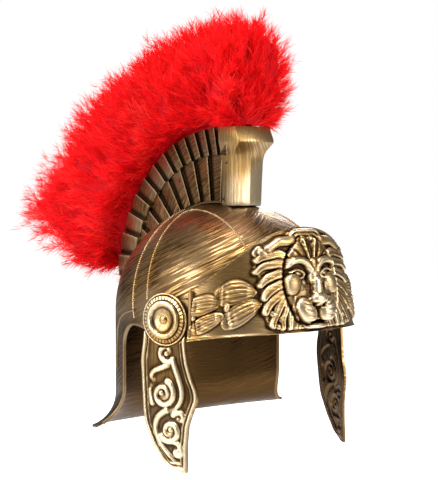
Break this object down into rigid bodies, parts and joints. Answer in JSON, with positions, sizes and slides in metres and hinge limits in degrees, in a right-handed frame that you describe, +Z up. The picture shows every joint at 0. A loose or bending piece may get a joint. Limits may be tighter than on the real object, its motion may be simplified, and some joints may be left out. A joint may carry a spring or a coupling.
{
  "type": "costume_helmet",
  "caption": "Costume Roman legionary helmet in antique gold plastic, with a lion mask, hinged cheek guards and a red feather crest.",
  "frame": {"origin": "the inside of the crown on the middle plane, where the top of the head carries the helmet", "axes": "+X is the wearer's left, -Y is the way the face looks, +Z is up"},
  "size_m": [0.2378, 0.4498, 0.4084],
  "materials": {
    "antique_gold": "metallic gold coating brushed with dark umber",
    "bright_gold": "metallic gold coating, rubbed bright",
    "red_feather": "soft dyed down feathers"
  },
  "bodies": {
    "root": {"shell": "antique_gold", "brow_band": "antique_gold", "crest_box": "antique_gold", "plume": "red_feather", "rosette_right": "bright_gold", "rosette_left": "bright_gold", "rivet_right": "bright_gold", "rivet_left": "bright_gold"},
    "cheek_guard_right": {"cheek_guard_right": "antique_gold"},
    "cheek_guard_left": {"cheek_guard_left": "antique_gold"}
  },
  "joints": [
    {"name": "cheek_guard_right_hinge", "type": "hinge", "parent": "root", "child": "cheek_guard_right", "pos_m": [-0.09737, -0.0375, -0.1005], "axis": [-0.9563, -0.2924, 0], "range_deg": [-25, 5]},
    {"name": "cheek_guard_left_hinge", "type": "hinge", "parent": "root", "child": "cheek_guard_left", "pos_m": [0.09737, -0.0375, -0.1005], "axis": [-0.9563, 0.2924, 0], "range_deg": [-25, 5]}
  ]
}
